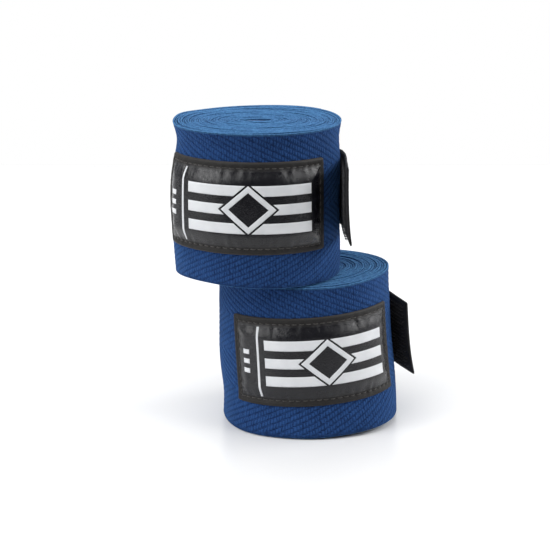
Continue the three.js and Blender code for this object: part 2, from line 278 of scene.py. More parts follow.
class Material:
    """A Principled material, with a short call for each kind of node that it uses."""

    def __init__(self, name, sockets):
        self.material = bpy.data.materials.new(name)
        self.material.use_nodes = True
        self.tree = self.material.node_tree
        self.shader = self.tree.nodes["Principled BSDF"]
        for socket, value in sockets.items():
            self.shader.inputs[socket].default_value = value

    def node(self, kind, inputs, output=0, **settings):
        return add_node(self.tree, kind, inputs, output, **settings)

    def math(self, operation, *values):
        return self.node("Math", dict(enumerate(values)), operation=operation)

    def uv(self):
        """The piece's own cloth coordinates, in metres: the vector, u and v."""
        vector = self.node("UVMap", {}, uv_map=UV_NAME)
        parts = self.node("SeparateXYZ", {"Vector": vector}).node
        return vector, parts.outputs["X"], parts.outputs["Y"]

    def place(self):
        return self.node("TexCoord", {}, output="Object")

    def stretched(self, vector, scale):
        return self.node("Mapping", {"Vector": vector, "Scale": scale})

    def noise(self, vector, size, detail=3.0, roughness=0.55):
        inputs = {"Vector": vector, "Scale": 1 / size, "Detail": detail, "Roughness": roughness}
        return self.node("TexNoise", inputs)

    def spread(self, value, low, high):
        """0 at low, 1 at high, and even between them."""
        return self.node("MapRange", {"Value": value, 1: low, 2: high})

    def mix(self, share, first, second):
        inputs = {0: share, 6: first, 7: second}
        return self.node("Mix", inputs, output=2, data_type="RGBA")

    def blend(self, share, first, second):
        inputs = {0: share, 2: first, 3: second}
        return self.node("Mix", inputs, data_type="FLOAT")

    def ridge(self, distance, pitch):
        """1 on the crest of each rib and 0 in the sharp groove between ribs."""
        phase = self.math("MULTIPLY", distance, math.pi / pitch)
        return self.math("ABSOLUTE", self.math("COSINE", phase))

    def total(self, *weighted):
        """The sum of (value, weight) pairs."""
        result = 0.0
        for value, weight in weighted:
            result = self.math("MULTIPLY_ADD", value, weight, result)
        return result

    def finish(self, color, roughness=None, height=None, depth=0.1 * MM):
        self.tree.links.new(color, self.shader.inputs["Base Color"])
        if roughness is not None:
            self.tree.links.new(roughness, self.shader.inputs["Roughness"])
        if height is not None:
            normal = self.node("Bump", {"Height": height, "Distance": depth, "Strength": 1.0})
            self.tree.links.new(normal, self.shader.inputs["Normal"])
        return self.material


def cotton_material():
    """Blue herringbone twill. The yarns, slubs and tone follow the strip's own coordinates.

    The edges are paler, over a wider band at the upper edge than at the lower one: partly the fuzz
    of the cut yarn, partly painted light from above.
    """
    cloth = Material("blue_cotton_herringbone", {
        "Sheen Weight": 0.3,
        "Sheen Roughness": 0.4,
        "Sheen Tint": (0.18, 0.45, 1.0, 1),
        "Specular IOR Level": 0.08,
        "Roughness": 0.95,
    })
    vector, along, up = cloth.uv()
    twill = cloth.math("MULTIPLY", cloth.math("PINGPONG", up, BAND), RIB / RIB_RISE)
    to_top = cloth.math("SUBTRACT", STRIP_WIDTH, up)
    to_selvedge = cloth.math("MINIMUM", up, to_top)
    # painted light: a pale band along the strip's edges, wider at the upper edge, partly cut-yarn
    # fuzz and partly light from above
    to_painted_light_edge = cloth.math("MINIMUM", cloth.math("MULTIPLY", up, 3.5), to_top)
    inside = cloth.spread(to_selvedge, 0.3 * SELVEDGE, SELVEDGE)
    sway = cloth.math("MULTIPLY", cloth.noise(vector, 2.6 * MM, detail=2.0), 1.3 * MM)
    bend = cloth.math("MULTIPLY", cloth.noise(vector, 1.7 * MM, detail=1.0), 0.5 * MM)
    rib = cloth.ridge(cloth.math("SUBTRACT", along, twill), RIB)
    upright = cloth.ridge(cloth.math("ADD", along, sway), UPRIGHT)
    lengthwise = cloth.ridge(cloth.math("ADD", up, bend), LENGTHWISE)
    over = cloth.math("MULTIPLY", cloth.spread(rib, 0.35, 0.75), inside)
    yarns = cloth.blend(over, lengthwise, upright)
    slub = cloth.noise(cloth.stretched(vector, (1.0, 0.45, 1)), 0.9 * MM, detail=4.0)
    lint = cloth.noise(vector, 0.35 * MM, detail=2.0)
    tone = cloth.noise(vector, 11 * MM, detail=2.0)
    bright = cloth.total((tone, 0.4), (slub, 1.2), (lint, 0.8), (yarns, 0.62), (over, 0.30))
    share = cloth.spread(bright, 1.17, 2.17)
    face = cloth.mix(share, (0.0022, 0.0070, 0.030, 1), (0.0195, 0.061, 0.192, 1))
    # the pale edge colour, partly painted light from above on the turns' upper edges
    edge = cloth.mix(share, (0.024, 0.068, 0.160, 1), (0.082, 0.232, 0.440, 1))
    color = cloth.mix(cloth.spread(to_painted_light_edge, 0.0, 0.9 * MM), edge, face)
    height = cloth.total((yarns, 0.8), (over, 0.4), (slub, 1.1), (lint, 0.5))
    return cloth.finish(color, height=height, depth=0.16 * MM)


def loop_tape_material():
    """Plain woven blue tape of the folded thumb loop."""
    tape = Material("blue_loop_tape", {
        "Sheen Weight": 0.2,
        "Specular IOR Level": 0.15,
        "Roughness": 0.95,
    })
    vector, along, across = tape.uv()
    weave = tape.math("MULTIPLY", tape.ridge(along, 0.8 * MM), tape.ridge(across, 0.7 * MM))
    slub = tape.noise(vector, 0.8 * MM)
    share = tape.total((weave, 0.5), (slub, 0.8))
    color = tape.mix(share, (0.010, 0.028, 0.085, 1), (0.040, 0.100, 0.250, 1))
    return tape.finish(color, height=share, depth=0.12 * MM)


def leather_grain(leather, vector):
    """Pebbled leatherette grain with fine pores."""
    cells = {"Vector": vector, "Scale": 1 / (0.62 * MM)}
    pebble = leather.node("TexVoronoi", cells, feature="DISTANCE_TO_EDGE")
    fine = leather.noise(vector, 0.22 * MM, detail=3.0)
    broad = leather.noise(vector, 3.2 * MM, detail=2.0)
    domes = leather.spread(pebble, 0.0, 0.28)
    return leather.total((domes, 0.55), (fine, 0.35), (broad, 0.8))


def leatherette_material():
    """Semi-gloss black in the puffed middle, and duller and browner on the sewn border."""
    leather = Material("black_leatherette", {"Specular IOR Level": 0.38})
    vector, along, up = leather.uv()
    to_side = leather.math("MINIMUM", along, leather.math("SUBTRACT", LABEL_LENGTH, along))
    to_end = leather.math("MINIMUM", up, leather.math("SUBTRACT", LABEL_HEIGHT, up))
    to_cut = leather.math("MINIMUM", to_side, to_end)
    middle = leather.spread(to_cut, SEAM_INSET, SEAM_INSET + 1.2 * MM)
    cut_edge = leather.spread(to_cut, 0.1 * MM, 0.7 * MM)
    smudge = leather.noise(vector, 6 * MM, detail=4.0)
    dust = leather.noise(vector, 0.5 * MM, detail=3.0)
    border = leather.mix(cut_edge, (0.024, 0.021, 0.019, 1), (0.0065, 0.0055, 0.005, 1))
    centre = leather.mix(smudge, (0.003, 0.003, 0.0045, 1), (0.009, 0.009, 0.012, 1))
    color = leather.mix(middle, border, centre)
    shine = leather.total((middle, -0.42), (smudge, 0.20), (dust, 0.08), (1.0, 0.53))
    return leather.finish(color, shine, leather_grain(leather, vector), 0.07 * MM)


def print_material():
    """White printed film that shows the grain below it, a little worn."""
    film = Material("white_printed_film", {"Specular IOR Level": 0.4})
    vector, _, _ = film.uv()
    wear = film.noise(vector, 0.7 * MM, detail=4.0, roughness=0.7)
    cloud = film.noise(vector, 5 * MM, detail=2.0)
    worn = film.spread(wear, 0.66, 0.74)
    clean = film.mix(cloud, (0.56, 0.58, 0.60, 1), (0.72, 0.73, 0.75, 1))
    color = film.mix(worn, clean, (0.42, 0.43, 0.45, 1))
    shine = film.total((wear, 0.25), (1.0, 0.38))
    return film.finish(color, shine, leather_grain(film, vector), 0.035 * MM)


def thread_material(name, dark, light):
    """Twisted sewing thread."""
    thread = Material(name, {"Specular IOR Level": 0.4, "Roughness": 0.55, "Sheen Weight": 0.15})
    place = thread.place()
    fibre = thread.noise(place, 0.12 * MM, detail=3.0)
    tone = thread.noise(place, 3 * MM)
    color = thread.mix(thread.total((fibre, 0.6), (tone, 0.5)), dark, light)
    return thread.finish(color, height=fibre, depth=0.08 * MM)


def hook_tape_material():
    """Matt black woven nylon, with the yarns of its weave."""
    tape = Material("black_nylon_tape", {"Specular IOR Level": 0.2, "Sheen Weight": 0.05})
    vector, along, across = tape.uv()
    warp = tape.ridge(across, 0.55 * MM)
    weft = tape.ridge(along, 0.42 * MM)
    lint = tape.noise(vector, 0.5 * MM, detail=4.0)
    weave = tape.total((warp, 0.5), (weft, 0.35), (lint, 0.5))
    color = tape.mix(weave, (0.002, 0.002, 0.0025, 1), (0.011, 0.0105, 0.012, 1))
    shine = tape.total((lint, 0.25), (1.0, 0.62))
    return tape.finish(color, shine, weave, 0.12 * MM)


def hook_material():
    """Stiff black nylon monofilament, its paler tones partly painted highlight."""
    nylon = Material("black_nylon_hooks", {"Specular IOR Level": 0.5})
    place = nylon.place()
    tone = nylon.noise(place, 1.5 * MM)
    scuff = nylon.noise(place, 0.2 * MM)
    # the paler end of this tone is painted highlight on the hooks, the darker end their black nylon
    color = nylon.mix(tone, (0.013, 0.013, 0.014, 1), (0.060, 0.058, 0.061, 1))
    return nylon.finish(color, nylon.total((scuff, 0.3), (1.0, 0.28)), scuff, 0.03 * MM)


def pile_material():
    """Black brushed nylon."""
    pile = Material("black_nylon_pile", {
        "Sheen Weight": 0.5,
        "Sheen Roughness": 0.4,
        "Specular IOR Level": 0.2,
        "Roughness": 0.9,
    })
    place = pile.place()
    tuft = pile.noise(place, 0.5 * MM, detail=4.0)
    tone = pile.noise(place, 6 * MM)
    share = pile.total((tuft, 0.6), (tone, 0.5))
    color = pile.mix(share, (0.004, 0.004, 0.005, 1), (0.022, 0.021, 0.024, 1))
    return pile.finish(color, height=tuft, depth=0.3 * MM)


def floor_material():
    """Pale and slightly glossy, with painted shade round the object: darker near it and paler away
    from it.
    """
    floor = Material("pale_floor_with_painted_shade", {"Specular IOR Level": 0.5})
    place = floor.place()
    tone = floor.noise(place, 0.3, detail=2.0)
    smear = floor.noise(place, 0.05, detail=3.0)
    # painted shade: the colour is darker near the object and fades to pale away from it
    wide = floor.stretched(place, (2.4, 1, 1))
    distance = floor.node("VectorMath", {0: wide}, output=1, operation="LENGTH")
    near = floor.mix(tone, (0.74, 0.74, 0.745, 1), (0.77, 0.77, 0.77, 1))
    color = floor.mix(floor.spread(distance, 0.05, 0.18), near, (0.94, 0.94, 0.94, 1))
    return floor.finish(color, floor.total((smear, 0.08), (1.0, 0.22)))


# ---- The wound roll ----


class Roll:
    """One wound wrap: its size, where its label and tab are, and where it stands."""

    def __init__(self, name, radius, end_angle, lean=0.0, top_level=STRIP_WIDTH, **places):
        self.name = name
        self.body = name + "_roll"
        self.tab_body = name + "_tab"
        self.radius = radius
        self.end_angle = end_angle
        self.lean = lean
        self.top_level = top_level
        self.places = places
        outermost = radius - CAD_STRIP_THICKNESS / 2
        innermost = CORE_RADIUS + CAD_STRIP_THICKNESS / 2
        self.pitch = math.pi * (outermost**2 - innermost**2) / STRIP_LENGTH
        self.turns = (radius - CORE_RADIUS - CAD_STRIP_THICKNESS) / self.pitch
        low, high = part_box(name + "_thumb_loop")
        self.turn = Matrix.Rotation(-lean, 3, "Y")
        loop_middle = Vector((0, 0, (LOOP_BOTTOM + LOOP_TOP) / 2))
        self.origin = (low + high) / 2 - self.turn @ loop_middle

    def node(self, part):
        return f"{self.name}_{part}"

    def placed(self, points):
        """Points of the roll's own frame, in the CAD's frame."""
        return points @ np.array(self.turn).T + np.array(self.origin)

    def arc(self, length):
        """The angle that a length covers on the outermost turn."""
        return np.degrees(length / self.radius)

    def outer_radius(self, angle):
        return self.radius - self.pitch * (angle - self.end_angle) / 360

    def bottom_edge(self, x):
        return np.maximum(0, -x * math.tan(self.lean))

    def top_edge(self, x):
        level = (self.top_level - x * math.sin(self.lean)) / math.cos(self.lean)
        return np.maximum(STRIP_WIDTH, level)

    def flat_point(self, angle, radius):
        """The place of a turn seen from above. The squeeze of the hollow fades out outwards."""
        squeeze = CORE_FLATTENING * (1 - radius / self.radius)
        turn = np.radians(angle)
        return (radius + squeeze) * np.sin(turn), -(radius - squeeze) * np.cos(turn)

    def face_radius(self, angle, height):
        """The radius of a turn's outer face, with its slack upper edge and slow unevenness."""
        radius = self.outer_radius(angle)
        share = radius / self.radius
        turn = np.radians(angle)
        rise = height / STRIP_WIDTH
        sway = np.sin(2 * turn + 3 * rise) + 0.7 * np.sin(3 * turn - 4 * rise + 1)
        sway = sway + 0.5 * np.sin(5 * turn + 6 * rise + 2)
        slack = np.clip((height - STRIP_WIDTH + FLARE_HEIGHT) / FLARE_HEIGHT, 0, 1.2) ** 1.6
        slack = slack * (1 - 0.3 * np.sin(turn))
        bulge = 0
        for centre, width, level, span, amount in self.places["swells"]:
            near = hump(turn_between(angle, centre), width) * hump(height - level * MM, span * MM)
            bulge = bulge + amount * MM * near
        radius = radius + UNEVENNESS * sway * share**2 + self.places["flare"] * slack * share**7
        return radius + bulge * share**12

    def edge_lift(self, edge, angle):
        """How far the outermost turns' upper or lower edge is raised or lowered at an angle."""
        share = self.outer_radius(angle) / self.radius
        lift = 0
        for centre, width, amount in self.places[edge]:
            lift = lift + amount * MM * hump(turn_between(angle, centre), width)
        return lift * share**8

    def on_cloth(self, angle, height, lift):
        """A point at a height on the outermost turn, lifted off its face."""
        angle, height, lift = np.broadcast_arrays(angle, height, lift)
        x, y = self.flat_point(angle, self.face_radius(angle, height))
        out = 1 + lift / np.hypot(x, y)
        return self.placed(np.stack([x * out, y * out, height], -1))


# ---- The cotton strip ----

BAND_ROWS = 12
FINE_TURN = 490  # degrees of the outermost turn, which is the one whose face shows, and more
RIB_COLUMNS = 12
RELAX = 55 * MM  # over this length the mesh's columns turn from upright to the twill's zigzag
COARSE_STEP = 8  # degrees


def zigzag(height):
    """How far the twill has moved along the strip at a height."""
    return (BAND - np.abs(height % (2 * BAND) - BAND)) * RIB / RIB_RISE


def strip_rows():
    """Heights of the outer face's rows, with one on each band's edge, and a few of them."""
    ends = [EDGE_ROUND, BAND, 2 * BAND, 3 * BAND, STRIP_WIDTH - EDGE_ROUND]
    rows = [ends[0]]
    for low, high in zip(ends, ends[1:]):
        rows += np.linspace(low, high, BAND_ROWS + 1)[1:].tolist()
    few = [0, 6, 12, 21, 36, 40, 43, 4 * BAND_ROWS]
    return np.array(rows), few


def strip_section(outer_rows, inner_rows):
    """A ring round the strip's section: heights, and depths as shares of the thickness."""
    edge = np.radians([30, 60, 90, 120, 150])
    height = np.concatenate([
        outer_rows,
        STRIP_WIDTH - EDGE_ROUND + EDGE_ROUND * np.sin(edge),
        inner_rows[::-1],
        EDGE_ROUND - EDGE_ROUND * np.sin(edge),
    ])
    depth = np.concatenate([
        np.zeros(len(outer_rows)),
        (1 - np.cos(edge)) / 2,
        np.ones(len(inner_rows)),
        (1 + np.cos(edge)) / 2,
    ])
    return height, depth


def strip_points(roll, angle, height, depth, relief):
    """Points of the strip, in the CAD's frame. Angle grows inwards along the winding."""
    turn = np.radians(angle)
    spacing = roll.pitch * (1 + CORE_FLATTENING / roll.radius * np.cos(2 * turn))
    thickness = spacing - TURN_CLEARANCE
    x, _ = roll.flat_point(angle, roll.outer_radius(angle))
    bottom = roll.bottom_edge(x)
    z = bottom + (roll.top_edge(x) - bottom) * height / STRIP_WIDTH
    radius = roll.face_radius(angle, z) - depth * thickness - relief
    x, y = roll.flat_point(angle, radius)
    wave = 1.6 + np.sin(1.31 * turn) + 0.6 * np.sin(2.77 * turn + 1)
    z = z - EDGE_WAVE * wave * smooth(height / STRIP_WIDTH * 2 - 1)
    z = z + roll.edge_lift("rims", angle) * smooth(1 - (STRIP_WIDTH - height) / EDGE_SPAN)
    z = z + roll.edge_lift("hems", angle) * smooth(1 - height / EDGE_SPAN)
    return roll.placed(np.stack([x, y, z], -1))


def make_strip(roll, material):
    rows, few = strip_rows()
    fine_height, fine_depth = strip_section(rows, rows[few])
    coarse_height, coarse_depth = strip_section(rows[few], rows[few])

    # The outermost turn: the mesh's columns follow the zigzag of the twill's ribs.
    fine_length = roll.radius * math.radians(FINE_TURN)
    start = np.arange(0, fine_length, RIB / RIB_COLUMNS)[:, None]
    follow = smooth(start / RELAX) * smooth((start[-1] - start) / RELAX)
    along = start + follow * np.where(fine_depth < 1, zigzag(fine_height), 0)
    angle = roll.end_angle + roll.arc(along)
    rib = np.abs(np.cos(math.pi * (along - zigzag(fine_height)) / RIB))
    inside = smooth(np.minimum(fine_height, STRIP_WIDTH - fine_height) / SELVEDGE)
    relief = RIB_DEPTH * (1 - rib) * inside * follow * (fine_depth == 0)
    fine = strip_points(roll, angle, fine_height, fine_depth, relief)
    fine_uv = np.stack(np.broadcast_arrays(along, fine_height), -1)

    # The turns inside it, of which only the upper edges show.
    last = angle[-1, 0] + COARSE_STEP / 2
    angle = np.arange(last, roll.end_angle + 360 * roll.turns, COARSE_STEP)[:, None]
    coarse = strip_points(roll, angle, coarse_height, coarse_depth, 0)
    steps = roll.outer_radius(angle) * math.radians(COARSE_STEP)
    along = start[-1] + np.cumsum(steps)[:, None]
    coarse_uv = np.stack(np.broadcast_arrays(along, coarse_height), -1)

    fine_ring, coarse_ring = len(fine_height), len(coarse_height)
    first_coarse = fine.shape[0] * fine_ring
    faces = grid_faces(fine.shape[0], fine_ring, wrap_columns=True)
    faces += grid_faces(coarse.shape[0], coarse_ring, wrap_columns=True, first=first_coarse)
    faces += joining_faces(first_coarse - fine_ring, fine_ring, first_coarse, coarse_ring, few)
    total = first_coarse + coarse.shape[0] * coarse_ring
    faces.append(list(range(fine_ring)))
    faces.append(list(range(total - coarse_ring, total)))

    points = np.concatenate([fine.reshape(-1, 3), coarse.reshape(-1, 3)])
    uv = np.concatenate([fine_uv.reshape(-1, 2), coarse_uv.reshape(-1, 2)])
    return roll_piece(roll, "cotton_strip", (points, faces), material, "strip", uv)


def joining_faces(fine, fine_ring, coarse, coarse_ring, few):
    """Faces between a ring with many outer rows and one with few, which shares the others."""
    faces = []
    for step, (low, high) in enumerate(zip(few, few[1:])):
        middle = (low + high) // 2
        faces += [[coarse + step, fine + row, fine + row + 1] for row in range(low, middle)]
        faces.append([coarse + step, fine + middle, coarse + step + 1])
        faces += [[coarse + step + 1, fine + row, fine + row + 1] for row in range(middle, high)]
    extra = fine_ring - coarse_ring
    for row in range(len(few) - 1, coarse_ring):
        after = (row + 1) % coarse_ring
        fine_after = fine + extra + row + 1 if after else fine
        faces.append([fine + extra + row, fine_after, coarse + after, coarse + row])
    return faces


# ---- The label ----

LABEL_LIFT = 0.05 * MM  # the label's back lies this far off the cloth
LABEL_CELL = 0.42 * MM
LABEL_CORNER = 1.1 * MM
BORDER_THICKNESS = 0.62 * MM
PUFF = 1.3 * MM  # how far the middle stands above the border
PUFF_REACH = 4.8 * MM
SEAM_GROOVE = 0.36 * MM
FILM = 0.07 * MM


def label_relief(roll, along, up):
    """The label's thickness: a border, the groove of its seam, and a puffed, puckered middle."""
    to_side = np.minimum(along, LABEL_LENGTH - along)
    to_end = np.minimum(up, LABEL_HEIGHT - up)
    to_cut = np.minimum(to_side, to_end)
    inner = to_cut - SEAM_INSET
    across = np.where(to_side < to_end, along, up)
    run = np.where(to_side < to_end, up, along) / MM + 40 * (across < 10 * MM)
    run = run + roll.places["label_start"]
    edge = BORDER_THICKNESS * (0.35 + 0.65 * smooth(to_cut / (0.5 * MM)))
    pull = 0.7 + 0.3 * np.cos(2 * math.pi * run * MM / STITCH)
    groove = SEAM_GROOVE * pull * hump(inner, 0.42 * MM)
    puff = PUFF * smooth((inner - 0.3 * MM) / PUFF_REACH) ** 0.8
    corner = smooth(np.maximum(to_side, to_end) / (6 * MM))
    waves = np.sin(run / 0.62) * (0.6 + 0.4 * np.sin(run / 3.1 + 1)) + 0.6 * np.sin(run / 1.4)
    waves = waves + 0.7 * np.sin(run / 0.40 + 2) * (0.5 + 0.5 * np.sin(run / 2.3))
    fading = np.exp(-np.abs(inner - 1.2 * MM) / (1.5 * MM)) * (inner > 0)
    ripple = 0.07 * MM * waves * hump(inner + 0.8 * MM, 0.7 * MM)
    pucker = 0.17 * MM * waves * fading * corner
    swell = 0.14 * MM * np.sin(along / (7.1 * MM) + 0.6) * np.sin(up / (5.3 * MM) + 1.1)
    swell = swell + 0.08 * MM * np.sin(along / (3.7 * MM)) * np.sin(up / (8.3 * MM) + 2)
    return edge - groove + puff + pucker + ripple + swell * smooth(inner / PUFF_REACH)


def on_label(roll, along, up, lift):
    """A point over the label's face. along and up are from its lower left corner."""
    height = LABEL_LIFT + label_relief(roll, along, up) + lift
    angle = roll.places["label_start"] + roll.arc(along)
    return roll.on_cloth(angle, roll.places["label_bottom"] + up, height)


def make_label(roll, material):
    rows = np.linspace(0, LABEL_HEIGHT, round(LABEL_HEIGHT / LABEL_CELL) + 1)[:, None]
    columns = np.linspace(0, 1, round(LABEL_LENGTH / LABEL_CELL) + 1)
    to_end = np.minimum(np.minimum(rows, LABEL_HEIGHT - rows), LABEL_CORNER)
    cut = LABEL_CORNER - np.sqrt(LABEL_CORNER**2 - (LABEL_CORNER - to_end) ** 2)
    along = cut + columns * (LABEL_LENGTH - 2 * cut)
    up = np.broadcast_to(rows, along.shape)
    front = on_label(roll, along, up, 0)
    back = on_label(roll, along, up, -label_relief(roll, along, up))
    shape, uv = shell(front, back), both_faces(along, up)
    return roll_piece(roll, "leather_label", shape, material, "label", uv)


def seam_paths(length, height, inset, place):
    """The stitches of a seam round a patch: each one's path, and across it along the patch."""
    right, top = length - inset, height - inset
    corners = [(inset, inset), (right, inset), (right, top), (inset, top)]
    share = np.linspace(0.08, 0.92, 6)
    rise = THREAD_RADIUS * (1.9 * np.sin(math.pi * np.linspace(0, 1, 6)) - 0.9)
    along, up = [], []
    for (start_u, start_v), (end_u, end_v) in zip(corners, corners[1:] + corners[:1]):
        count = round(math.hypot(end_u - start_u, end_v - start_v) / STITCH)
        step = (np.arange(count)[:, None] + share) / count
        along.append(start_u + (end_u - start_u) * step)
        up.append(start_v + (end_v - start_v) * step)
    along, up = np.concatenate(along), np.concatenate(up)
    paths = place(along, up, np.broadcast_to(rise, along.shape))
    out = place(along[:, 2], up[:, 2], MM) - place(along[:, 2], up[:, 2], 0)
    return paths, across_threads(paths, out)


def make_seam(roll, name, node, size, place, material, inset=SEAM_INSET):
    paths, across = seam_paths(*size, inset, place)
    shape = threads(paths, across, THREAD_RADIUS, 6)
    return roll_piece(roll, name, shape, material, node)


# ---- The print ----


def film(roll, along, up, wrap_rows=False):
    """A thin film over the label, and its cloth coordinates, from grids of along and up."""
    front = on_label(roll, along, up, FILM)
    back = on_label(roll, along, up, 0.1 * FILM)
    return shell(front, back, wrap_rows), both_faces(along, up)


def bar_rows(low, high):
    """The heights of a bar's rows."""
    return np.linspace(low, high, max(4, round((high - low) / LABEL_CELL)) + 1)[:, None]


def film_bar(roll, start, end, up):
    """A bar from start to end along the label. Either may differ from row to row."""
    start, end, up = np.broadcast_arrays(start, end, up)
    widest = float(np.max(end - start))
    share = np.linspace(0, 1, max(3, round(widest / LABEL_CELL)) + 1)
    along = start + (end - start) * share
    return film(roll, along, np.broadcast_to(up, along.shape))


def print_piece(roll, name, node, films, material):
    shape = joined([shape for shape, _ in films])
    uv = np.concatenate([uv for _, uv in films])
    return roll_piece(roll, name, shape, material, node, uv)


def make_emblem(roll, material):
    """A diamond outline with three stripes on each side of it."""
    middle_u = EMBLEM_START + EMBLEM_WIDTH / 2
    middle_v = LABEL_HEIGHT / 2
    half_width = DIAMOND_WIDTH / 2
    tip = EMBLEM_HEIGHT / 2
    steps = 26
    corners = np.array([(half_width, 0), (0, tip), (-half_width, 0), (0, -tip), (half_width, 0)])
    outline = np.concatenate([
        np.linspace(start, end, steps, endpoint=False) for start, end in zip(corners, corners[1:])
    ])
    scale = np.linspace(1, 1 - DIAMOND_RIM / tip, 7)
    along = middle_u + outline[:, :1] * scale
    up = middle_v + outline[:, 1:] * scale
    films = [film(roll, along, up, wrap_rows=True)]

    channel = 0.9 * MM  # between the diamond and the stripes
    spacing = (EMBLEM_HEIGHT - EMBLEM_STRIPE) / 2
    for row in (-1, 0, 1):
        low = middle_v + row * spacing - EMBLEM_STRIPE / 2
        up = bar_rows(low, low + EMBLEM_STRIPE)
        reach = half_width * (1 - np.abs(up - middle_v) / tip) + channel
        films.append(film_bar(roll, EMBLEM_START, middle_u - reach, up))
        films.append(film_bar(roll, middle_u + reach, EMBLEM_START + EMBLEM_WIDTH, up))
    return print_piece(roll, "emblem_print", "emblem", films, material)


def make_upright_bar(roll, name, node, centre, size, material):
    (along, up), (width, height) = centre, size
    rows = bar_rows(up - height / 2, up + height / 2)
    bar = film_bar(roll, along - width / 2, along + width / 2, rows)
    return print_piece(roll, name, node, [bar], material)


def make_prints(roll, material):
    middle = LABEL_HEIGHT / 2
    make_emblem(roll, material)
    rule = (RULE_POSITION, middle), (RULE_WIDTH, RULE_HEIGHT)
    make_upright_bar(roll, "rule_print", "size_rule", *rule, material)
    for number in (1, 2, 3):
        centre = (SIZE_BAR_POSITION, middle + (number - 2) * SIZE_BAR_SPACING)
        size = (SIZE_BAR_LENGTH, SIZE_BAR_HEIGHT)
        node = f"size_bar_{number}"
        make_upright_bar(roll, node + "_print", node, centre, size, material)


# ---- The pile patch ----

PILE_BASE = 0.55 * MM
PILE_LOOPS = 1700
PILE_CELL = 0.6 * MM


def make_pile(roll, material, thread):
    bottom = roll.places["tab_bottom"]
    start = roll.end_angle + roll.arc(PILE_SETBACK)

    def place(along, up, lift):
        return roll.on_cloth(start + roll.arc(along), bottom + up, LABEL_LIFT + PILE_BASE + lift)

    rows = np.linspace(0, TAPE_WIDTH, round(TAPE_WIDTH / PILE_CELL) + 1)[:, None]
    columns = np.linspace(0, PILE_LENGTH, round(PILE_LENGTH / PILE_CELL) + 1)
    along, up = np.broadcast_arrays(columns, rows)
    groove = hump(to_edge(along, up, PILE_LENGTH, TAPE_WIDTH) - SEAM_INSET, 0.6 * MM)
    ruffle = 0.07 * MM * np.sin(along / (0.9 * MM)) * np.sin(up / (1.1 * MM))
    front = place(along, up, ruffle - 0.2 * MM * groove)
    back = place(along, up, -PILE_BASE)
    base = roll_piece(roll, "pile_base", shell(front, back), material, "pile_patch")

    random = np.random.default_rng(7)
    margin = 0.5 * MM
    along = random.uniform(margin, PILE_LENGTH - margin, PILE_LOOPS)[:, None]
    up = random.uniform(margin, TAPE_WIDTH - margin, PILE_LOOPS)[:, None]
    heading = random.uniform(0, 2 * math.pi, PILE_LOOPS)[:, None]
    size = random.uniform(0.7, 1.2, PILE_LOOPS)[:, None]
    reach = size * 0.36 * MM * np.array([-1, -1.15, -0.45, 0.45, 1.15, 1])
    rise = size * 0.62 * MM * np.array([-0.15, 0.45, 0.95, 1, 0.5, -0.15])
    held = hump(to_edge(along, up, PILE_LENGTH, TAPE_WIDTH) - SEAM_INSET, 0.5 * MM)
    rise = rise * (1 - 0.75 * held)
    path_u = along + reach * np.cos(heading)
    path_v = up + reach * np.sin(heading)
    paths = place(path_u, path_v, rise)
    out = place(along[:, 0], up[:, 0], MM) - place(along[:, 0], up[:, 0], 0)
    shape = threads(paths, across_threads(paths, out), 0.05 * MM)
    loops = make_piece(roll.node("pile_loops"), shape, material)
    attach(loops, roll.body)

    patch = (PILE_LENGTH, TAPE_WIDTH)
    seam = make_seam(roll, "pile_stitches", "pile_seam", patch, place, thread)
    strip_name = roll.node("cotton_strip")


# ---- The hook tape ----

TAPE_CELL = 0.6 * MM
TAB_SEAM_INSET = 1.3 * MM
HOOK_STEP = 1.45 * MM
HOOK_ROW = 1.3 * MM
HOOK_RADIUS = 0.1 * MM
HOOK_ALONG = np.array([0, 0, 0.02, 0.13, 0.31, 0.44, 0.45]) * MM
HOOK_RISE = np.array([-0.1, 0.35, 0.68, 0.93, 0.98, 0.83, 0.62]) * MM


def smooth_line(points, step):
    """Points a step apart on a smooth curve through the points."""
    chord = np.concatenate([[0], np.cumsum(np.linalg.norm(np.diff(points, axis=0), axis=1))])
    slope = np.gradient(points, chord, axis=0)
    fine = np.linspace(0, chord[-1], 40 * len(points))
    index = np.clip(np.searchsorted(chord, fine) - 1, 0, len(points) - 2)
    span = (chord[index + 1] - chord[index])[:, None]
    share = (fine - chord[index])[:, None] / span
    line = (2 * share**3 - 3 * share**2 + 1) * points[index]
    line += (share**3 - 2 * share**2 + share) * span * slope[index]
    line += (3 * share**2 - 2 * share**3) * points[index + 1]
    line += (share**3 - share**2) * span * slope[index + 1]
    length = np.concatenate([[0], np.cumsum(np.linalg.norm(np.diff(line, axis=0), axis=1))])
    even = np.arange(0, length[-1], step)
    return np.stack([np.interp(even, length, line[:, axis]) for axis in (0, 1)], 1)


